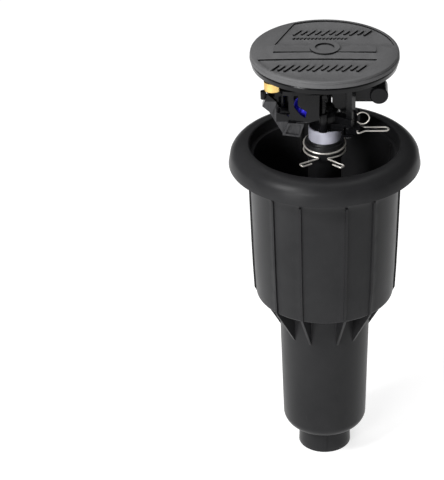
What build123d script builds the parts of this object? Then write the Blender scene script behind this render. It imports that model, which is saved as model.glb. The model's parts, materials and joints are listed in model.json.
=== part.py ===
from build123d import *
import os
from math import atan2, cos, degrees, hypot, radians, sin

# Pop-up impact sprinkler, drawn popped up. Millimetres, +Z up, origin at the centre of the inlet's mouth.

os.makedirs("parts", exist_ok=True)

# case
INLET_BORE_R, INLET_BORE_Z = 12.0, 14.5
SMALL_BORE_R = 9.3
INLET_R, INLET_NECK_R = 18.2, 17.65
BASE_Z, BASE_FLAT_R, BASE_ROUND_R = 17.4, 19.9, 9.0
TUBE_R_LOW, TUBE_R_TOP = 28.9, 30.9
TUBE_FLOOR_Z, TUBE_BORE_R = 25.2, 28.0
SHOULDER_Z, CUP_FLOOR_Z = 125.0, 128.0
CUP_WALL = ((46.72, 126.6), (47.55, 144.0), (48.2, 163.0), (48.8, 185.0), (49.4, 208.0), (49.7, 214.0))
LEDGE_Z, LEDGE_R = 229.5, 46.9
RIM_Z, RIM_R, FLANGE_R, FLANGE_Z = 238.0, 49.65, 63.5, 223.5
RIB_PROUD, RIB_T = 1.3, 1.6
RIB_ANGLES = (-90, -42.5, -18.5, 16.5, 40, 90, 135, 180, -135)
WEB_COUNT = 12
GUIDE_SCREW_PCR = 30.5

# riser
RISER_R, RISER_BORE_R, RISER_SEAT_R = 11.0, 8.6, 9.45
RISER_Z, RISER_FLANGE_R, RISER_FLANGE_Z = 92.5, 24.5, 96.0
SPOOL_R, SPOOL_Z, SPOOL_TOP_Z = 13.05, 231.0, 239.5
SEAT_R, SEAT_Z = 11.6, 241.0
GUIDE_Z, GUIDE_BORE_R = 121.0, 11.3
SEAL_T = 1.4
SPRING_R, SPRING_WIRE_R, SPRING_TURNS = 15.0, 0.6, 9
SLEEVE_R, SLEEVE_BORE_R, SLEEVE_TOP_Z = 10.65, 7.06, 250.0

# friction collars
COLLAR_WIRE_R, COLLAR_R = 0.6, 13.75
COLLAR_LOW_Z, COLLAR_RISE, COLLAR_TILT = 232.7, 4.5, 5.5
COLLAR_TURN, COLLAR_UPPER_TURN = -4.0, 162.0
COLLAR_END_ANGLE, FOLD_R, FOLD_ANGLE = -73.5, 1.0, 123.0
TAB_TIP, TAB_W, TAB_RETURN, TAB_BEND_R = (14.7, -23.1), 3.8, 7.0, 1.2

# head
STEM_R, STEM_Z, WATERWAY_R = 7.0, 213.0, 4.8
NUT_R, NUT_Z, NUT_T = 8.4, 214.5, 4.9
WASHER_Z, WASHER_T = (219.5, 220.4, 221.3), 0.7
HUB_R, HUB_Z, HUB_TOP_Z = 10.2, 250.3, 260.0
NECK_R, NECK_TOP_Z = 4.5, 272.5
JET_AZIMUTH, JET_RISE, JET_Z = 215.0, 23.0, 261.5
ELBOW_R, ELBOW_L, NOZZLE_SEAT_R = 8.0, 16.0, 6.0
POST_X, POST_Y = 17.0, -10.75
POST_R, POST_ANGLE = hypot(POST_X, POST_Y), degrees(atan2(POST_Y, POST_X))
WING_Z, WING_T, WING_W = 258.5, 5.0, 6.5
BRIDGE_Z, BRIDGE_T = 290.0, 4.0
REAR_WALL_START, REAR_WALL_ARC = 62.0, 118.0
PIN_R, FULCRUM_Z = 2.0, 267.0
DIFFUSER_X, DIFFUSER_Y = -1.0, -12.3
LID_SCREW_R = 12.0

# drive arm
ARM_Z, ARM_TOP_Z, ARM_HUB_R = 273.2, 281.0, 6.2
ARM_ANGLE = 206.0
WEIGHT_X, WEIGHT_Y, WEIGHT_R, WEIGHT_Z = -33.4, -16.6, 5.6, 283.6
CW_X, CW_Z, CW_R, CW_Y0, CW_L = 35.3, 274.2, 6.0, -6.0, 16.0
JET_TUBE = (-22.6, -16.8, 268.2)
JET_TUBE_R, JET_TUBE_L = 2.3, 9.0

# trip mechanism
TRIP_X, TRIP_Y, TRIP_BACK_X = 15.5, -8.0, 11.0
FLIP_X, FLIP_Z = 21.3, 251.3
TRIP_SPRING_X, TRIP_SPRING_Y, TRIP_SPRING_Z, TRIP_SPRING_R = 24.7, -10.5, 260.6, 4.2

# lid
LID_R, LID_Z, LID_LIP_Z, LID_TOP_Z, LID_CROWN_Z = 48.4, 295.7, 300.1, 304.3, 305.2
LID_SIDE_R, LID_PLATE_Z, LID_WALL, LID_CROWN_R = 47.6, 301.0, 2.4, 1300.0
PANEL_R, PANEL_DEPTH, BEAD_Z = 45.4, 1.0, 298.5
BAR_L, BAR_Z, RING_R, RING_BORE_R, RING_Z = 33.0, 305.75, 9.7, 6.3, 306.4

JET = Plane(
    origin=(0, 0, JET_Z),
    z_dir=(
        cos(radians(JET_RISE)) * cos(radians(JET_AZIMUTH)),
        cos(radians(JET_RISE)) * sin(radians(JET_AZIMUTH)),
        sin(radians(JET_RISE)),
    ),
)
ON_END = (Align.CENTER, Align.CENTER, Align.MIN)


def outline(*points):
    """Closed face through corner points, in the sketch being built."""
    Polygon(*points, align=None)


def across(path):
    """Plane square to the start of a built line."""
    return Plane(origin=path @ 0, z_dir=path % 0)


# ---------------------------------------------------------------- case
wall_rib = [(r + RIB_PROUD, z) for r, z in CUP_WALL]
with BuildPart() as rib:
    with BuildSketch(Plane.XZ):
        outline(
            (29.9, 97.6),
            (30.6, 97.0),
            (46.6, 123.8),
            *wall_rib,
            (49.0, 214.5),
            (47.4, 163.0),
            (45.6, 127.2),
            (29.9, 126.5),
        )
    extrude(amount=RIB_T / 2, both=True)

with BuildPart() as web:
    with BuildSketch(Plane.XZ):
        outline((52.3, 224.0), (61.9, 224.4), (61.0, 228.6), (57.2, 232.9), (52.3, 234.2))
    extrude(amount=RIB_T / 2, both=True)

with BuildPart() as case:
    with BuildSketch(Plane.XZ):
        with BuildLine():
            foot = Polyline((INLET_BORE_R, 0), (INLET_R, 0), (INLET_NECK_R, BASE_Z), (BASE_FLAT_R, BASE_Z))
            base = TangentArc(foot @ 1, (TUBE_R_LOW, BASE_Z + BASE_ROUND_R), tangent=(1, 0))
            tube = Polyline(base @ 1, (30.5, 96.0), (TUBE_R_TOP, SHOULDER_Z - 0.5), (45.1, SHOULDER_Z))
            corner = ThreePointArc(tube @ 1, (46.2, 125.5), CUP_WALL[0])
            wall = Polyline(
                *CUP_WALL,
                (52.6, 219.5),
                (52.6, 233.8),
                (57.0, 232.6),
                (60.7, 228.3),
                (61.7, FLANGE_Z),
                (FLANGE_R, FLANGE_Z),
                (62.3, 230.6),
            )
            dome = ThreePointArc(wall @ 1, (59.3, 234.9), (50.5, RIM_Z))
            inside = Polyline(
                dome @ 1,
                (RIM_R, RIM_Z - 0.7),
                (RIM_R, LEDGE_Z),
                (LEDGE_R, LEDGE_Z),
                (46.6, 200.0),
                (45.6, 163.0),
                (44.2, 129.0),
                (43.2, CUP_FLOOR_Z),
                (TUBE_BORE_R, CUP_FLOOR_Z),
                (TUBE_BORE_R, 118.0),
                (27.6, 96.0),
                (26.3, 28.0),
                (23.9, TUBE_FLOOR_Z),
                (SMALL_BORE_R, TUBE_FLOOR_Z),
                (SMALL_BORE_R, INLET_BORE_Z),
                (INLET_BORE_R, INLET_BORE_Z),
                foot @ 0,
            )
        make_face()
    revolve(axis=Axis.Z)
    with Locations(*[Location((0, 0, 0), (0, 0, angle - 90)) for angle in RIB_ANGLES]):
        add(rib.part)
    with PolarLocations(0, WEB_COUNT, start_angle=15):
        add(web.part)
    with Locations((0, -17.7, BASE_Z / 2)):
        Box(2.8, 1.6, BASE_Z - 1)
    with Locations((0, 0, 217)):
        with PolarLocations(46.6, 4, start_angle=20):
            Box(1.6, 1.2, 20)
    with Locations((0, 0, CUP_FLOOR_Z)):
        with PolarLocations(GUIDE_SCREW_PCR, 3, start_angle=30):
            Hole(radius=1.4, depth=2.4)

with BuildPart() as riser_guide:
    with BuildSketch(Plane.XZ):
        outline(
            (GUIDE_BORE_R, GUIDE_Z),
            (27.9, GUIDE_Z),
            (27.9, 123.9),
            (26.0, 123.9),
            (26.0, 126.1),
            (27.9, 126.1),
            (27.9, CUP_FLOOR_Z),
            (33.0, CUP_FLOOR_Z),
            (33.0, 131.0),
            (26.5, 131.0),
            (20.0, 132.4),
            (16.5, 138.0),
            (GUIDE_BORE_R, 138.0),
            (GUIDE_BORE_R, 134.0),
            (13.6, 134.0),
            (13.6, 131.0),
            (GUIDE_BORE_R, 131.0),
        )
    revolve(axis=Axis.Z)
    with Locations((0, 0, 131.0)):
        with PolarLocations(GUIDE_SCREW_PCR, 3, start_angle=30):
            Hole(radius=1.5, depth=4)

with BuildPart() as guide_screws:
    with Locations((0, 0, 125.8)):
        with PolarLocations(GUIDE_SCREW_PCR, 3, start_angle=30):
            Cylinder(1.35, 5.2, align=ON_END)
    with Locations((0, 0, 131.0)):
        with PolarLocations(GUIDE_SCREW_PCR, 3, start_angle=30):
            Cylinder(2.6, 1.8, align=ON_END)
    with Locations((0, 0, 132.8)):
        with PolarLocations(GUIDE_SCREW_PCR, 3, start_angle=30):
            Box(3.6, 0.7, 1.6, mode=Mode.SUBTRACT)

with BuildPart() as guide_oring:
    with BuildSketch(Plane.XZ):
        with Locations((26.97, 125.0)):
            Circle(0.95)
    revolve(axis=Axis.Z)

with BuildPart() as wiper_seal:
    with BuildSketch(Plane.XZ):
        outline((RISER_R + 0.05, 131.3), (13.5, 131.1), (13.5, 133.9), (12.4, 133.9), (RISER_R + 0.05, 132.6))
    revolve(axis=Axis.Z)

spring_low = RISER_FLANGE_Z + SEAL_T + SPRING_WIRE_R
spring_rise = GUIDE_Z - SPRING_WIRE_R - spring_low
with BuildLine() as spring_path:
    Helix(pitch=spring_rise / SPRING_TURNS, height=spring_rise, radius=SPRING_R, center=(0, 0, spring_low))

with BuildPart() as retraction_spring:
    with BuildSketch(across(spring_path.line)):
        Circle(SPRING_WIRE_R)
    sweep(path=spring_path.line, is_frenet=True)

# ---------------------------------------------------------------- riser
with BuildPart() as riser_tube:
    with BuildSketch(Plane.XZ):
        outline(
            (RISER_BORE_R, RISER_Z),
            (RISER_FLANGE_R, RISER_Z),
            (RISER_FLANGE_R, RISER_FLANGE_Z),
            (RISER_R, RISER_FLANGE_Z),
            (RISER_R, 226.5),
            (SPOOL_R, SPOOL_Z),
            (SPOOL_R, SPOOL_TOP_Z),
            (SEAT_R, SPOOL_TOP_Z),
            (SEAT_R, SEAT_Z),
            (RISER_SEAT_R, SEAT_Z),
            (RISER_SEAT_R, 222.0),
            (RISER_BORE_R, 222.0),
        )
    revolve(axis=Axis.Z)

with BuildPart() as riser_seal:
    with BuildSketch(Plane.XY.offset(RISER_FLANGE_Z)):
        Circle(20.0)
        Circle(RISER_R + 0.05, mode=Mode.SUBTRACT)
    extrude(amount=SEAL_T)

with BuildPart() as inlet_screen:
    with BuildSketch(Plane.XZ):
        outline(
            (7.5, RISER_Z + 0.1),
            (8.58, RISER_Z + 0.1),
            (8.58, 94.0),
            (8.3, 94.0),
            (8.3, 118.0),
            (0, 118.0),
            (0, 117.2),
            (7.5, 117.2),
        )
    revolve(axis=Axis.Z)
    for level in range(5):
        with Locations((0, 0, 97.5 + 4.2 * level)):
            with PolarLocations(7.9, 12):
                Box(2.4, 1.6, 2.8, mode=Mode.SUBTRACT)
    with Locations((0, 0, 117.6)):
        with PolarLocations(4.6, 8):
            Box(3.6, 1.2, 2.4, mode=Mode.SUBTRACT)

with BuildPart() as bearing_sleeve:
    with BuildSketch(Plane.XZ):
        outline(
            (SLEEVE_BORE_R, 222.05),
            (9.4, 222.05),
            (9.4, SEAT_Z),
            (SLEEVE_R, SEAT_Z),
            (SLEEVE_R, SLEEVE_TOP_Z - 0.3),
            (SLEEVE_R - 0.3, SLEEVE_TOP_Z),
            (SLEEVE_BORE_R, SLEEVE_TOP_Z),
        )
    revolve(axis=Axis.Z)

# ---------------------------------------------------------------- friction collars
# flat wire ring open at the front, each end folded back into a narrow looped tab
collar_end = (COLLAR_R * cos(radians(COLLAR_END_ANGLE)), COLLAR_R * sin(radians(COLLAR_END_ANGLE)))
with BuildLine() as collar_side:
    half_ring = ThreePointArc((0, COLLAR_R), (COLLAR_R, 0), collar_end)
    fold = JernArc(start=half_ring @ 1, tangent=half_ring % 1, radius=FOLD_R, arc_size=FOLD_ANGLE)
    leg = (Vector(*TAB_TIP) - fold @ 1).normalized()
    tab_side = Vector(leg.Y, -leg.X)
    tab_corner = Vector(*TAB_TIP) + tab_side * TAB_W
    FilletPolyline(fold @ 1, TAB_TIP, tab_corner, tab_corner - leg * TAB_RETURN, radius=TAB_BEND_R)

with BuildPart() as collar_blank:
    with BuildSketch(across(half_ring)):
        Circle(COLLAR_WIRE_R)
    sweep(path=collar_side.wire())
    mirror(about=Plane.YZ)

with BuildPart() as friction_collar_lower:
    with Locations(Location((0, 0, COLLAR_LOW_Z), (0, 0, COLLAR_TURN))):
        add(collar_blank.part)

# the upper collar sits a little askew on the spool, lower at the front
with BuildPart() as friction_collar_upper:
    with Locations(Location((0, 0, COLLAR_LOW_Z + COLLAR_RISE), (COLLAR_TILT, 0, 0))):
        with Locations(Location((0, 0, 0), (0, 0, COLLAR_UPPER_TURN))):
            add(collar_blank.part)

# ---------------------------------------------------------------- head
with BuildPart() as nozzle_body:
    with BuildSketch(Plane.XZ):
        outline(
            (0, STEM_Z),
            (STEM_R, STEM_Z),
            (STEM_R, HUB_Z),
            (HUB_R, HUB_Z),
            (HUB_R, HUB_TOP_Z),
            (9.2, 263.0),
            (NECK_R, 265.5),
            (NECK_R, NECK_TOP_Z),
            (0, NECK_TOP_Z),
        )
    revolve(axis=Axis.Z)
    with Locations(JET):
        Cylinder(ELBOW_R, ELBOW_L, align=ON_END)
    with Locations(Location((0, 0, WING_Z), (0, 0, POST_ANGLE))):
        Box(2 * POST_R + 4.4, WING_W, WING_T)
    with Locations((DIFFUSER_X, DIFFUSER_Y, 252.0)):
        Cylinder(3.0, 13.0, align=ON_END)
    with Locations((TRIP_BACK_X - 3.5, TRIP_Y, 253.5)):
        Box(7.0, 5.0, 5.4)
    with Locations((0, 0, STEM_Z)):
        Cylinder(WATERWAY_R, JET_Z - STEM_Z, align=ON_END, mode=Mode.SUBTRACT)
    with Locations((0, 0, JET_Z)):
        Sphere(WATERWAY_R, mode=Mode.SUBTRACT)
    with Locations(JET):
        Cylinder(WATERWAY_R, ELBOW_L, align=ON_END, mode=Mode.SUBTRACT)
    with Locations(JET.offset(8)):
        Cylinder(NOZZLE_SEAT_R, ELBOW_L, align=ON_END, mode=Mode.SUBTRACT)
    with Locations((0, 0, NECK_TOP_Z)):
        Hole(radius=PIN_R, depth=NECK_TOP_Z - FULCRUM_Z)
    with Locations((DIFFUSER_X, DIFFUSER_Y, 265.0)):
        Hole(radius=1.75, depth=7.2)

with BuildPart() as bearing_washers:
    for low in WASHER_Z:
        with BuildSketch(Plane.XY.offset(low)):
            Circle(NUT_R)
            Circle(STEM_R + 0.05, mode=Mode.SUBTRACT)
        extrude(amount=WASHER_T)

with BuildPart() as bearing_nut:
    with BuildSketch(Plane.XY.offset(NUT_Z)):
        Circle(NUT_R)
        Circle(STEM_R + 0.05, mode=Mode.SUBTRACT)
    extrude(amount=NUT_T)
    with Locations((0, 0, NUT_Z)):
        with PolarLocations(NUT_R - 0.2, 6):
            Box(1.0, 1.6, 4.0, mode=Mode.SUBTRACT)

with BuildPart() as bridge:
    with Locations(Location((0, 0, 0), (0, 0, POST_ANGLE))):
        with Locations((POST_R, 0, 261.0), (-POST_R, 0, 261.0)):
            Box(4.2, 4.6, BRIDGE_Z + BRIDGE_T - 261.0, align=ON_END)
        with Locations((0, 0, BRIDGE_Z)):
            Box(2 * POST_R + 4.2, 8.0, BRIDGE_T, align=ON_END)
    with Locations((0, 0, 289.4)):
        Cylinder(5.0, 1.0, align=ON_END)
    # curved rear wall with outside ribs, from behind the arm's hub to the left post
    with BuildSketch(Plane.XZ.rotated((0, 0, REAR_WALL_START))):
        outline((18.7, 261.2), (21.0, 261.2), (21.0, BRIDGE_Z + 1.5), (18.7, BRIDGE_Z + 1.5))
    revolve(axis=Axis.Z, revolution_arc=REAR_WALL_ARC)
    with Locations((0, 0, 275.0)):
        with PolarLocations(21.3, 6, start_angle=REAR_WALL_START + 8, angular_range=REAR_WALL_ARC - 20):
            Box(1.6, 1.4, 24.0)
    with Locations((17.2, -6.5, 271.1)):
        Box(3.0, 4.4, 2.6)
    with Locations((0, 0, 289.4)):
        Cylinder(PIN_R, 3.0, align=ON_END, mode=Mode.SUBTRACT)
    with Locations(Location((0, 0, BRIDGE_Z), (0, 0, POST_ANGLE))):
        with Locations((LID_SCREW_R, 0), (-LID_SCREW_R, 0)):
            Cylinder(1.5, BRIDGE_T, align=ON_END, mode=Mode.SUBTRACT)

with BuildPart() as nozzle:
    with BuildSketch(Plane(origin=JET.origin, x_dir=JET.x_dir, z_dir=JET.y_dir)):
        outline(
            (3.4, -8.1),
            (5.95, -8.1),
            (5.95, -16.05),
            (8.6, -16.05),
            (8.6, -18.2),
            (6.9, -18.2),
            (5.6, -22.0),
            (4.4, -22.0),
            (4.4, -18.6),
            (2.2, -17.4),
            (2.2, -14.0),
        )
    revolve(axis=Axis(JET.origin, JET.z_dir))
    with Locations(JET.offset(16.0)):
        with PolarLocations(8.6, 24):
            Box(0.5, 0.9, 6, mode=Mode.SUBTRACT)

with BuildPart() as fulcrum_pin:
    with Locations((0, 0, FULCRUM_Z + 0.05)):
        Cylinder(PIN_R - 0.01, 292.3 - FULCRUM_Z, align=ON_END)

with BuildLine() as arm_spring_path:
    Helix(pitch=1.39, height=6.95, radius=3.9, center=(0, 0, 281.95))

with BuildPart() as arm_spring:
    with BuildSketch(across(arm_spring_path.line)):
        Circle(0.45)
    sweep(path=arm_spring_path.line, is_frenet=True)

with BuildPart() as diffuser_screw:
    with Locations((DIFFUSER_X, DIFFUSER_Y, 258.2)):
        Cylinder(1.65, 18.0, align=ON_END)
    with Locations(*[(DIFFUSER_X, DIFFUSER_Y, 268.9 + 1.2 * ring) for ring in range(6)]):
        Cylinder(2.0, 0.6, align=ON_END)
    with Locations((DIFFUSER_X, DIFFUSER_Y, 276.2)):
        Cylinder(2.7, 2.4, align=ON_END)
    with Locations((DIFFUSER_X, DIFFUSER_Y, 278.6)):
        Box(6, 0.8, 2.0, mode=Mode.SUBTRACT)

with BuildPart() as trip_bracket:
    with Locations((14.8, TRIP_Y, 247.8), (14.8, TRIP_Y, 255.1)):
        Box(7.6, 8.0, 1.7)
    with Locations((TRIP_BACK_X + 0.7, TRIP_Y, 244.4)):
        Box(1.4, 8.0, 11.5, align=ON_END)
    with Locations((0, 0, 244)):
        Cylinder(SLEEVE_R + 0.35, 13, align=ON_END, mode=Mode.SUBTRACT)
    with Locations((TRIP_X, TRIP_Y, 246)):
        Cylinder(1.5, 11, align=ON_END, mode=Mode.SUBTRACT)

with BuildPart() as trip_pivot_pin:
    with Locations((TRIP_X, TRIP_Y, 245.5)):
        Cylinder(2.4, 1.4, align=ON_END)
    with Locations((TRIP_X, TRIP_Y, 246.9)):
        Cylinder(1.49, 9.0, align=ON_END)

# ---------------------------------------------------------------- drive arm
with BuildPart() as drive_arm:
    with Locations((0, 0, ARM_Z)):
        Cylinder(ARM_HUB_R, ARM_TOP_Z - ARM_Z, align=ON_END)
    # bar to the counterweight, with a deep gusset beside the neck
    with BuildSketch(Plane.XZ.offset(2.3)):
        outline(
            (NECK_R + 0.4, 268.6),
            (6.4, 266.6),
            (6.6, 265.2),
            (9.5, 263.5),
            (10.2, 262.6),
            (15.8, 262.6),
            (16.4, 269.3),
            (32.0, 269.3),
            (32.0, 279.2),
            (NECK_R + 0.4, 279.8),
        )
    extrude(amount=1.7, both=True)
    # bar to the spoon
    with BuildSketch(Plane.XZ.rotated((0, 0, ARM_ANGLE))):
        outline(
            (4.0, 274.4),
            (10.0, 279.6),
            (37.0, 279.6),
            (37.0, 283.6),
            (8.8, 283.6),
            (5.9, 281.0),
            (4.0, 281.0),
        )
    extrude(amount=3.0, both=True)
    with BuildSketch(Plane.XZ.rotated((0, 0, ARM_ANGLE))):
        outline((24.4, 266.5), (26.5, 264.0), (30.5, 264.0), (36.0, 272.0), (37.0, 280.0), (24.4, 280.0))
    extrude(amount=1.2, both=True)
    # cover plate, and a front plate with a window for the nozzle
    with BuildSketch(Plane.XY.offset(ARM_TOP_Z)):
        outline((-7.0, -4.0), (-26.0, -12.0), (-27.0, -19.0), (-21.0, -20.0), (-4.0, -18.5), (-3.0, -8.0))
    extrude(amount=2.8)
    with BuildSketch(Plane.XZ.offset(17.4)):
        outline(
            (-23.2, 281.4),
            (-23.2, 261.0),
            (-9.0, 262.0),
            (-3.6, 263.6),
            (-3.2, 281.4),
            (-17.2, 281.4),
            (-17.2, 273.8),
            (-11.5, 269.3),
            (-12.4, 264.8),
            (-15.6, 267.1),
            (-19.6, 272.6),
            (-20.0, 281.4),
        )
    extrude(amount=2.0)
    # spoon: outer vane, strut, inner vane
    with BuildSketch(Plane.XZ.offset(14)):
        outline((-36.5, 282.1), (-40.1, 273.8), (-33.9, 268.3), (-30.6, 276.6))
    extrude(amount=6)
    with BuildSketch(Plane.XZ.offset(15)):
        outline((-36.5, 270.8), (-27.1, 253.8), (-21.0, 258.0), (-21.5, 263.0), (-31.0, 275.6))
    extrude(amount=4)
    with BuildSketch(Plane.XZ.offset(15.5)):
        outline((-23.3, 262.8), (-27.1, 253.8), (-16.1, 252.2), (-13.2, 261.6))
    extrude(amount=6)
    with BuildSketch(Plane.XZ.offset(20.1)):
        outline((-22.3, 261.5), (-25.3, 254.9), (-17.0, 253.6), (-14.9, 260.7))
    extrude(amount=2, mode=Mode.SUBTRACT)
    with Locations((-21.5, -16.5, 262.0), (-27.0, -16.5, 262.0)):
        Cylinder(1.1, 19.6, align=ON_END)
    with Locations((-39.3, -17.5, 280.8)):
        Cylinder(1.9, 5.4)
    with Locations((-37.6, -17.5, 280.0)):
        Box(3.6, 1.8, 2.4)
    # seats for the bushing, the counterweight and the jet tube
    with Locations((0, 0, ARM_Z)):
        Cylinder(3.0, ARM_TOP_Z - ARM_Z, align=ON_END, mode=Mode.SUBTRACT)
    with Locations(Location((CW_X, CW_Y0 - 1, CW_Z), (-90, 0, 0))):
        Cylinder(CW_R, CW_L + 2, align=ON_END, mode=Mode.SUBTRACT)
    with Locations(Plane(origin=JET_TUBE, z_dir=JET.z_dir)):
        Cylinder(JET_TUBE_R, 2 * JET_TUBE_L, mode=Mode.SUBTRACT)

with BuildPart() as arm_bushing:
    with BuildSketch(Plane.XZ):
        outline(
            (PIN_R + 0.05, 272.8),
            (4.2, 272.8),
            (4.2, ARM_Z),
            (2.98, ARM_Z),
            (2.98, ARM_TOP_Z + 0.2),
            (PIN_R + 0.05, ARM_TOP_Z + 0.2),
        )
    revolve(axis=Axis.Z)

with BuildPart() as arm_weight:
    with Locations((WEIGHT_X, WEIGHT_Y, WEIGHT_Z)):
        Cylinder(WEIGHT_R, 7.4, align=ON_END)
    chamfer(arm_weight.edges().filter_by(GeomType.CIRCLE), length=0.8)

with BuildPart() as arm_counterweight:
    with Locations(Location((CW_X, CW_Y0, CW_Z), (-90, 0, 0))):
        Cylinder(CW_R - 0.01, CW_L, align=ON_END)
    chamfer(arm_counterweight.edges().filter_by(GeomType.CIRCLE), length=0.7)

with BuildPart() as jet_tube:
    with Locations(Plane(origin=JET_TUBE, z_dir=JET.z_dir)):
        Cylinder(JET_TUBE_R - 0.01, JET_TUBE_L, align=ON_END)
        Cylinder(JET_TUBE_R - 0.7, JET_TUBE_L, align=ON_END, mode=Mode.SUBTRACT)

# ---------------------------------------------------------------- trip mechanism
with BuildPart() as trip_lever:
    with Locations((TRIP_X, TRIP_Y, 248.95)):
        Cylinder(3.0, 5.0, align=ON_END)
    with Locations((19.3, TRIP_Y, 251.4)):
        Box(7.2, 6.0, 4.4)
    with Locations((22.2, TRIP_Y, 259.2)):
        Box(1.4, 4.0, 11.4)
    with Locations((TRIP_X, TRIP_Y, 248.95)):
        Cylinder(1.54, 5.0, align=ON_END, mode=Mode.SUBTRACT)
    with Locations(Location((FLIP_X, TRIP_Y, FLIP_Z), (90, 0, 0))):
        Cylinder(0.65, 8.0, mode=Mode.SUBTRACT)

with BuildLine(Plane.XZ.offset(-TRIP_SPRING_Y)) as trip_loop:
    CenterArc((TRIP_SPRING_X, TRIP_SPRING_Z), TRIP_SPRING_R, -145, 290)

with BuildPart() as trip_spring:
    with BuildSketch(across(trip_loop.line)):
        Circle(0.4)
    sweep(path=trip_loop.line)

with BuildLine() as hairpin:
    FilletPolyline(
        (FLIP_X, -9.3, FLIP_Z),
        (FLIP_X, -15.0, FLIP_Z),
        (26.3, -10.7, FLIP_Z),
        (41.6, -10.7, FLIP_Z),
        (41.6, -5.3, FLIP_Z),
        (26.3, -5.3, FLIP_Z),
        (FLIP_X, -1.0, FLIP_Z),
        (FLIP_X, -6.7, FLIP_Z),
        radius=[1.0, 2.0, 2.6, 2.6, 2.0, 1.0],
    )

with BuildPart() as trip_pin:
    with BuildSketch(across(hairpin.line)):
        Circle(0.55)
    sweep(path=hairpin.wire())

# ---------------------------------------------------------------- lid
with BuildPart() as panels:
    with BuildSketch(Plane.XY.offset(LID_PLATE_Z)):
        outline((-13.2, 60.0), (-32.4, 6.6), (60.0, 6.6), (60.0, 60.0))
        outline((14.5, -60.0), (33.6, -14.6), (-60.0, -14.6), (-60.0, -60.0))
        Circle(PANEL_R, mode=Mode.INTERSECT)
        Circle(RING_R + 0.9, mode=Mode.SUBTRACT)
    extrude(amount=10)
    with Locations((0, 0, LID_CROWN_Z - LID_CROWN_R)):
        Sphere(LID_CROWN_R - PANEL_DEPTH, mode=Mode.SUBTRACT)

with BuildPart() as lid:
    with BuildSketch(Plane.XZ):
        with BuildLine():
            side = Polyline(
                (0, LID_Z),
                (LID_SIDE_R - 0.3, LID_Z),
                (LID_SIDE_R - 0.1, BEAD_Z),
                (LID_SIDE_R + 0.4, BEAD_Z),
                (LID_SIDE_R + 0.4, BEAD_Z + 0.5),
                (LID_SIDE_R, BEAD_Z + 1.3),
                (LID_R, LID_LIP_Z),
                (LID_R - 0.1, 302.2),
                (LID_R - 0.6, 302.7),
                (LID_R - 0.3, 303.2),
            )
            edge = TangentArc(side @ 1, (LID_R - 1.5, LID_TOP_Z + 0.2), tangent=(-0.1, 1))
            Polyline(edge @ 1, (0, LID_CROWN_Z + 2), (0, LID_Z))
        make_face()
    revolve(axis=Axis.Z)
    with Locations((0, 0, LID_CROWN_Z - LID_CROWN_R)):
        Sphere(LID_CROWN_R, mode=Mode.INTERSECT)
    with Locations((0, 0, LID_Z)):
        Cylinder(LID_SIDE_R - LID_WALL, LID_PLATE_Z - LID_Z, align=ON_END, mode=Mode.SUBTRACT)
    add(panels.part, mode=Mode.SUBTRACT)
    # grip bar, a wedge with its high edge at the front, and centre ring
    with BuildSketch(Plane.YZ):
        outline((-5.5, LID_TOP_Z - 1), (6.6, LID_TOP_Z - 1), (6.6, 304.6), (-5.5, BAR_Z))
    extrude(amount=BAR_L, both=True)
    with BuildSketch(Plane.XY.offset(LID_TOP_Z)):
        Circle(RING_R)
    extrude(amount=RING_Z - LID_TOP_Z)
    with Locations((0, 0, LID_TOP_Z + 0.8)):
        Cylinder(RING_BORE_R, 3.0, align=ON_END, mode=Mode.SUBTRACT)
    # rows of plain slanted bars on the panels
    with BuildSketch(Plane.XY.offset(LID_TOP_Z - 1)):
        for step in range(11):
            with Locations((-18 + 4.6 * step, 26.0)):
                SlotOverall(9.5 - 2.5 * (step % 2), 1.5, rotation=58)
        for step in range(13):
            with Locations((-32 + 4.6 * step, -27.0)):
                SlotOverall(11.0 - 3.0 * (step % 2), 1.7, rotation=58)
        for step in range(15):
            with Locations((-20 + 2.4 * step, 17.0)):
                SlotOverall(2.4, 1.0, rotation=58)
    extrude(amount=1.75)
    # ribs and screw bosses underneath
    with Locations(Location((0, 0, 297.5), (0, 0, POST_ANGLE))):
        Box(2 * (LID_SIDE_R - LID_WALL), 1.6, 4.0, align=ON_END)
        Box(1.6, 2 * (LID_SIDE_R - LID_WALL), 4.0, align=ON_END)
    with Locations(Location((0, 0, BRIDGE_Z + BRIDGE_T), (0, 0, POST_ANGLE))):
        with Locations((LID_SCREW_R, 0), (-LID_SCREW_R, 0)):
            Cylinder(3.6, LID_PLATE_Z - BRIDGE_Z - BRIDGE_T, align=ON_END)
            Cylinder(1.35, 6.0, align=ON_END, mode=Mode.SUBTRACT)

with BuildPart() as lid_screws:
    with Locations(Location((0, 0, BRIDGE_Z - 1.8), (0, 0, POST_ANGLE))):
        with Locations((LID_SCREW_R, 0), (-LID_SCREW_R, 0)):
            Cylinder(2.6, 1.8, align=ON_END)
            Cylinder(1.3, 10.0, align=ON_END)

PIECES = {
    "case": case,
    "riser_guide": riser_guide,
    "guide_screws": guide_screws,
    "guide_oring": guide_oring,
    "wiper_seal": wiper_seal,
    "retraction_spring": retraction_spring,
    "riser_tube": riser_tube,
    "riser_seal": riser_seal,
    "inlet_screen": inlet_screen,
    "bearing_sleeve": bearing_sleeve,
    "friction_collar_lower": friction_collar_lower,
    "friction_collar_upper": friction_collar_upper,
    "nozzle_body": nozzle_body,
    "bearing_washers": bearing_washers,
    "bearing_nut": bearing_nut,
    "bridge": bridge,
    "nozzle": nozzle,
    "fulcrum_pin": fulcrum_pin,
    "arm_spring": arm_spring,
    "diffuser_screw": diffuser_screw,
    "trip_bracket": trip_bracket,
    "trip_pivot_pin": trip_pivot_pin,
    "lid": lid,
    "lid_screws": lid_screws,
    "drive_arm": drive_arm,
    "arm_bushing": arm_bushing,
    "arm_weight": arm_weight,
    "arm_counterweight": arm_counterweight,
    "jet_tube": jet_tube,
    "trip_lever": trip_lever,
    "trip_spring": trip_spring,
    "trip_pin": trip_pin,
}

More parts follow.
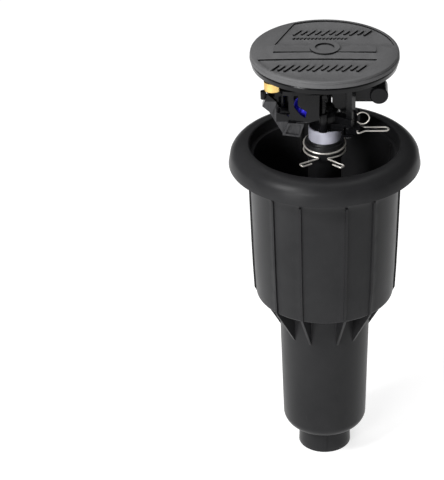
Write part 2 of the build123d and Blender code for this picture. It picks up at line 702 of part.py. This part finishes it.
for name, piece in PIECES.items():
    piece.part.label = name
    export_step(piece.part, f"parts/{name}.step")
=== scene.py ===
import json
import math

import bpy
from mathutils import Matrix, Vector


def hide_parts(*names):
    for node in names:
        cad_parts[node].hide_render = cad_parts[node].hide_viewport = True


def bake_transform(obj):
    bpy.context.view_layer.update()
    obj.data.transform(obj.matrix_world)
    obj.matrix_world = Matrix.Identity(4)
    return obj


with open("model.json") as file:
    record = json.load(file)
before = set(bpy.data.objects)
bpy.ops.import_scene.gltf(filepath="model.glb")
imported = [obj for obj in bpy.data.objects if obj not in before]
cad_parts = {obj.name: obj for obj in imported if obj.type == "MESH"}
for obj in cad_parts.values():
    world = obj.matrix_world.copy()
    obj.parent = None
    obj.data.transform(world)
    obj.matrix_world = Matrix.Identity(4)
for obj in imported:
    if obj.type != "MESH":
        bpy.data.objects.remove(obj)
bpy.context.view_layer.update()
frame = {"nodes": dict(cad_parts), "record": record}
nodes = frame["nodes"]


# ------------------------------------------------------------------ node helpers
class Nodes:
    """Short-hand for adding and joining the nodes of one tree."""

    def __init__(self, tree):
        self.tree = tree

    def node(self, kind, inputs=None, **settings):
        added = self.tree.nodes.new(kind)
        for key, value in settings.items():
            setattr(added, key, value)
        for key, value in (inputs or {}).items():
            self.put(added.inputs[key], value)
        return added

    def put(self, socket, value):
        """Join the socket to an output, or set it to a constant."""
        if isinstance(value, bpy.types.NodeSocket):
            self.tree.links.new(value, socket)
        else:
            socket.default_value = value

    def remap(self, value, low, high, to_low, to_high):
        added = self.node(
            "ShaderNodeMapRange",
            {"Value": value, "From Min": low, "From Max": high, "To Min": to_low, "To Max": to_high},
        )
        return added.outputs[0]

    def math(self, operation, a, b):
        return self.node("ShaderNodeMath", {0: a, 1: b}, operation=operation).outputs[0]

    def split(self, vector):
        """The X, Y and Z outputs of a vector."""
        return self.node("ShaderNodeSeparateXYZ", {0: vector}).outputs


class Look(Nodes):
    """A Principled material whose textures follow the piece's own coordinates, in metres."""

    def __init__(self, name, metallic=0.0, specular=0.5):
        self.material = bpy.data.materials.new(name)
        self.material.use_nodes = True
        super().__init__(self.material.node_tree)
        self.tree.nodes.clear()
        self.shader = self.node("ShaderNodeBsdfPrincipled")
        self.node("ShaderNodeOutputMaterial", {"Surface": self.shader.outputs[0]})
        self.shader.inputs["Metallic"].default_value = metallic
        self.shader.inputs["Specular IOR Level"].default_value = specular
        self.coord = self.node("ShaderNodeTexCoord").outputs["Object"]

    def noise(self, scale, detail, rough, vector=None, distortion=0.0):
        added = self.node(
            "ShaderNodeTexNoise",
            {
                "Vector": vector or self.coord,
                "Scale": scale,
                "Detail": detail,
                "Roughness": rough,
                "Distortion": distortion,
            },
        )
        return added.outputs["Fac"]

    def upright(self, z):
        """Coordinates that draw a texture out along Z, more so the nearer z is to 0."""
        return self.node("ShaderNodeMapping", {"Vector": self.coord, "Scale": (1.0, 1.0, z)}).outputs[0]

    def spread(self, noise, to_low=0.0, to_high=1.0):
        """Noise, which seldom leaves 0.3 to 0.7, spread over a whole range."""
        return self.remap(noise, 0.3, 0.7, to_low, to_high)

    def mix(self, factor, a, b):
        added = self.node("ShaderNodeMix", data_type="RGBA")
        self.put(added.inputs[0], factor)
        self.put(added.inputs[6], a)
        self.put(added.inputs[7], b)
        return added.outputs[2]

    def bump(self, height, strength, distance, under=None):
        added = self.node("ShaderNodeBump", {"Height": height, "Strength": strength, "Distance": distance})
        if under is not None:
            self.put(added.inputs["Normal"], under)
        return added.outputs[0]

    def colour(self, value):
        self.put(self.shader.inputs["Base Color"], value)

    def rough(self, value):
        self.put(self.shader.inputs["Roughness"], value)

    def normal(self, value):
        self.put(self.shader.inputs["Normal"], value)


def rgb(red, green, blue):
    return (red, green, blue, 1.0)


# ------------------------------------------------------------------ materials
# texture scales, in repeats per metre, and bump depths, in metres
FLOW_SCALE, LID_FLOW_SCALE = 26.0, 30.0
GRAIN_SCALE, SCUFF_SCALE, STREAK_SCALE = 2600.0, 900.0, 700.0
PEBBLE_SCALE, DUST_SCALE = 1250.0, 140.0
DRAWN_SCALE, STAIN_SCALE = 1800.0, 90.0
FLOW_DEPTH, GRAIN_DEPTH, PEBBLE_DEPTH, DRAWN_DEPTH = 0.0006, 0.00008, 0.00012, 0.00005

# the lid is grey above its lip and black below, with painted shade in the relief inside a radius
LID_LIP_Z, LID_LIP_BLUR = 0.3001, 0.0002
PANEL_EDGE_R = 0.0458
# the drive arm's spoon, painted paler as painted light: its inner vane is below one height, its outer vane
# below another and left of an X
SPOON_TOP_Z, SPOON_OUTER_X, SPOON_OUTER_Z = 0.2622, -0.0312, 0.2772

# the glossy black that the mechanism and the drive arm share: dark and light shade, roughness, specular level
GLOSS_SHADES = ((0.004, 0.004, 0.0045), (0.008, 0.008, 0.009))
GLOSS_ROUGH, GLOSS_PEBBLE, GLOSS_SPECULAR = (0.14, 0.26), 0.2, 0.17


def flow_mottle(look, scale=FLOW_SCALE):
    return look.noise(scale, 4.0, 0.6, distortion=0.4)


def mottled(look, flow, shades):
    """Colour that drifts between a dark and a light shade."""
    dark, light = shades
    return look.mix(look.spread(flow), rgb(*dark), rgb(*light))


def moulded_surface(look, flow, rough, pebble):
    """Roughness that drifts with the flow mottle, and fine grain under faint waves."""
    look.rough(look.spread(flow, *rough))
    grain = look.bump(look.noise(GRAIN_SCALE, 2.0, 0.5), pebble, GRAIN_DEPTH)
    look.normal(look.bump(flow, 0.12, FLOW_DEPTH, grain))


def moulded(name, shades, rough, pebble, specular=0.5):
    """Moulded plastic: faint flow mottle, fine grain, a few scuffs."""
    look = Look(name, specular=specular)
    flow = flow_mottle(look)
    scuff = look.remap(look.noise(SCUFF_SCALE, 3.0, 0.7, look.upright(0.06)), 0.66, 0.78, 0.0, 0.25)
    paler = [min(1.0, 2.2 * c) for c in shades[1]]
    look.colour(look.mix(scuff, mottled(look, flow, shades), rgb(*paler)))
    moulded_surface(look, flow, rough, pebble)
    return look.material


def metal(name, tone, dark, rough, metallic=1.0):
    """Drawn or turned metal with darker stains and fine lines along Z."""
    look = Look(name, metallic=metallic)
    drawn = look.noise(DRAWN_SCALE, 3.0, 0.6, look.upright(0.05))
    stain = look.remap(look.noise(STAIN_SCALE, 4.0, 0.6), 0.35, 0.7, 0.0, 1.0)
    tint = look.mix(stain, rgb(*tone), rgb(*dark))
    look.colour(look.mix(look.remap(drawn, 0.2, 0.8, 0.0, 0.3), tint, rgb(*dark)))
    look.rough(look.remap(drawn, 0.2, 0.8, rough * 0.7, rough * 1.3))
    look.normal(look.bump(drawn, 0.12, DRAWN_DEPTH))
    return look.material


def arm_plastic():
    """Glossy black arm whose spoon vanes are painted paler in streaks, a painted highlight for the light the
    vanes catch.
    """
    look = Look("arm_plastic", specular=GLOSS_SPECULAR)
    flow = flow_mottle(look)
    place = look.split(look.coord)
    inner = look.math("LESS_THAN", place["Z"], SPOON_TOP_Z)
    outer = look.math("LESS_THAN", place["X"], SPOON_OUTER_X)
    outer = look.math("MULTIPLY", outer, look.math("LESS_THAN", place["Z"], SPOON_OUTER_Z))
    spoon = look.math("MAXIMUM", inner, outer)
    streak = look.noise(STREAK_SCALE, 3.0, 0.65, look.upright(0.08))
    # painted highlight: the spoon's vanes are painted a paler grey in streaks, for the light they catch
    vane_painted_light = look.math("MULTIPLY", spoon, look.spread(streak, 0.45, 1.0))
    look.colour(look.mix(vane_painted_light, mottled(look, flow, GLOSS_SHADES), rgb(0.055, 0.055, 0.058)))
    moulded_surface(look, flow, GLOSS_ROUGH, GLOSS_PEBBLE)
    return look.material


def relief_painted_shade(look):
    """Painted shade in the corners of the lid's raised panels, bar and ring, where the surface isn't level.
    """
    slope = look.split(look.node("ShaderNodeNewGeometry").outputs["Normal"])["Z"]
    flat = look.node("ShaderNodeVectorMath", {0: look.coord, 1: (1.0, 1.0, 0.0)}, operation="MULTIPLY")
    radius = look.node("ShaderNodeVectorMath", {0: flat.outputs[0]}, operation="LENGTH").outputs["Value"]
    relief = look.math("LESS_THAN", radius, PANEL_EDGE_R)
    return look.math("MULTIPLY", relief, look.remap(slope, 0.4, 0.93, 1.0, 0.0))


def two_tone_lid():
    """Pebbled grey top and rim; smooth black side wall below the lip."""
    look = Look("lid_plastic", specular=0.16)
    flow = flow_mottle(look, LID_FLOW_SCALE)
    pebble = look.noise(PEBBLE_SCALE, 2.0, 0.45)
    dust = look.remap(look.noise(DUST_SCALE, 5.0, 0.65), 0.55, 0.8, 0.0, 0.35)
    height = look.split(look.coord)["Z"]
    on_top = look.remap(height, LID_LIP_Z - LID_LIP_BLUR, LID_LIP_Z + LID_LIP_BLUR, 0.0, 1.0)
    grey = mottled(look, flow, ((0.092, 0.092, 0.094), (0.110, 0.110, 0.112)))
    grey = look.mix(dust, grey, rgb(0.14, 0.14, 0.142))
    grey = look.mix(look.spread(pebble, 0.0, 0.3), grey, rgb(0.06, 0.06, 0.062))
    # painted shade: the relief's walls and corners are darkened, where less light falls
    grey = look.mix(relief_painted_shade(look), grey, rgb(0.006, 0.006, 0.0065))
    look.colour(look.mix(on_top, rgb(0.003, 0.003, 0.0035), grey))
    look.rough(look.mix(on_top, rgb(0.16, 0.16, 0.16), look.spread(pebble, 0.48, 0.6)))
    look.normal(look.bump(flow, 0.1, FLOW_DEPTH, look.bump(pebble, 0.55, PEBBLE_DEPTH)))
    return look.material


# one material for each slot in the record; the drive arm has one of its own
LOOKS = {
    "case": moulded("case_plastic", ((0.014, 0.014, 0.015), (0.021, 0.021, 0.022)), (0.32, 0.42), 0.3, 0.13),
    "riser": moulded("riser_plastic", ((0.008, 0.008, 0.009), (0.012, 0.012, 0.013)), (0.35, 0.5), 0.2, 0.4),
    "mechanism": moulded("mechanism_plastic", GLOSS_SHADES, GLOSS_ROUGH, GLOSS_PEBBLE, GLOSS_SPECULAR),
    "lid": two_tone_lid(),
    "sleeve": moulded("sleeve_plastic", ((0.64, 0.64, 0.75), (0.76, 0.76, 0.87)), (0.36, 0.48), 0.25),
    "nozzle": moulded("nozzle_plastic", ((0.025, 0.02, 0.55), (0.04, 0.035, 0.72)), (0.2, 0.32), 0.15),
    "spring_wire": metal("spring_wire", (0.92, 0.89, 0.84), (0.74, 0.70, 0.64), 0.4, metallic=0.7),
    "steel": metal("steel", (0.6, 0.6, 0.61), (0.42, 0.42, 0.43), 0.3),
    "brass": metal("brass", (0.90, 0.66, 0.26), (0.66, 0.44, 0.14), 0.22),
    "seal": moulded("seal_rubber", ((0.010, 0.010, 0.010), (0.016, 0.016, 0.016)), (0.6, 0.75), 0.3),
    "bushing": moulded("bushing_plastic", ((0.62, 0.62, 0.58), (0.7, 0.7, 0.66)), (0.4, 0.5), 0.2),
}
ARM = arm_plastic()

for part in frame["record"]["subparts"]:
    piece = nodes[part["node"]]
    piece.data.materials.clear()
    piece.data.materials.append(ARM if part["node"] == "drive_arm" else LOOKS[part["material_slot"]])

# ------------------------------------------------------------------ retraction spring
# a copy of the spring, between the guide above and the riser's flange below, shown in place of the hidden
# piece
coil = bpy.data.objects.new("retraction_coil", nodes["retraction_spring"].data.copy())
bpy.context.scene.collection.objects.link(coil)
coil.matrix_world = nodes["retraction_spring"].matrix_world
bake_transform(coil)
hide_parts("retraction_spring")

# ------------------------------------------------------------------ rounded edges
# bevel widths, in metres, of the pieces whose rounded edges show
EDGES = {
    "case": 0.0003,
    "lid": 0.0002,
    "drive_arm": 0.0005,
    "bridge": 0.0005,
    "nozzle_body": 0.0004,
    "nozzle": 0.00025,
    "trip_bracket": 0.0003,
    "trip_lever": 0.0003,
    "jet_tube": 0.0002,
    "bearing_sleeve": 0.0003,
    "riser_tube": 0.0004,
}
WELD_DISTANCE = 0.000001
SHARP_ANGLE = math.radians(38.0)

for node, width in EDGES.items():
    weld = nodes[node].modifiers.new("weld", "WELD")
    weld.merge_threshold = WELD_DISTANCE
    bevel = nodes[node].modifiers.new("edges", "BEVEL")
    bevel.width = width
    bevel.segments = 2
    bevel.limit_method = "ANGLE"
    bevel.angle_limit = SHARP_ANGLE
    bevel.use_clamp_overlap = True

# ------------------------------------------------------------------ sky
# soft light: bright overhead, dim at the horizon, with more added towards the left
SKY_HORIZON, SKY_TOP, SKY_LEFT = 0.12, 1.9, 1.1

world = bpy.data.worlds.new("world")
bpy.context.scene.world = world
world.use_nodes = True
sky = Nodes(world.node_tree)
direction = sky.split(sky.node("ShaderNodeTexCoord").outputs["Generated"])
overhead = sky.remap(direction["Z"], 0.1, 0.8, SKY_HORIZON, SKY_TOP)
leftward = sky.remap(direction["X"], -1.0, -0.2, SKY_LEFT, 0.0)
sky.put(sky.tree.nodes["Background"].inputs["Strength"], sky.math("ADD", overhead, leftward))

# ------------------------------------------------------------------ floor
FLOOR_SIZE, FLOOR_Z = 8.0, -0.0005
FLOOR_GLOW, FIBRE_SCALE = 0.72, 40.0

bpy.ops.mesh.primitive_plane_add(size=FLOOR_SIZE, location=(0.0, 0.0, FLOOR_Z))
floor = bpy.context.object
floor.name = "floor"
paper = Look("floor_paper", specular=0.2)
paper.colour(paper.mix(paper.noise(FIBRE_SCALE, 3.0, 0.6), rgb(0.50, 0.50, 0.50), rgb(0.53, 0.53, 0.53)))
paper.rough(0.9)
paper.shader.inputs["Emission Color"].default_value = rgb(1.0, 1.0, 1.0)
paper.shader.inputs["Emission Strength"].default_value = FLOOR_GLOW
floor.data.materials.append(paper.material)


# ------------------------------------------------------------------ lights
def softbox(name, place, target, size, power):
    """A rectangular light at a place, turned towards a target; metres and watts."""
    light = bpy.data.lights.new(name, "AREA")
    light.shape = "RECTANGLE"
    light.size, light.size_y = size
    light.energy = power
    lamp = bpy.data.objects.new(name, light)
    bpy.context.scene.collection.objects.link(lamp)
    lamp.location = place
    lamp.rotation_mode = "QUATERNION"
    lamp.rotation_quaternion = (Vector(target) - Vector(place)).to_track_quat("-Z", "Y")


softbox("key", place=(-0.75, -0.6, 1.0), target=(0.0, 0.0, 0.22), size=(0.35, 0.35), power=12.0)
softbox("front", place=(-0.45, -1.0, 0.62), target=(0.0, 0.0, 0.25), size=(0.4, 0.25), power=4.5)
softbox("skirt", place=(-0.72, -0.94, 0.30), target=(0.0, -0.05, 0.23), size=(0.22, 0.22), power=3.0)
softbox("fill", place=(0.9, -0.4, 0.7), target=(0.0, 0.0, 0.2), size=(0.5, 0.8), power=0.3)
softbox("top", place=(0.0, 0.3, 1.4), target=(0.0, 0.0, 0.2), size=(1.0, 0.8), power=9.0)

# ------------------------------------------------------------------ camera
# place in metres, tilt below the horizon in degrees, lens and sensor in millimetres,
# shift as a share of the picture's longer side
CAMERA_PLACE = (0.0, -1.24125, 0.88554)
CAMERA_TILT = 30.207
CAMERA_LENS, SENSOR_WIDTH = 159.3, 36.0
CAMERA_SHIFT_X = -0.2138

camera_data = bpy.data.cameras.new("camera")
camera = bpy.data.objects.new("camera", camera_data)
bpy.context.scene.collection.objects.link(camera)
camera.location = CAMERA_PLACE
camera.rotation_euler = (math.radians(90.0 - CAMERA_TILT), 0.0, 0.0)
camera_data.sensor_width = SENSOR_WIDTH
camera_data.lens = CAMERA_LENS
camera_data.shift_x = CAMERA_SHIFT_X
camera_data.clip_start, camera_data.clip_end = 0.01, 20.0
bpy.context.scene.camera = camera
bpy.context.scene.view_settings.view_transform = "Standard"
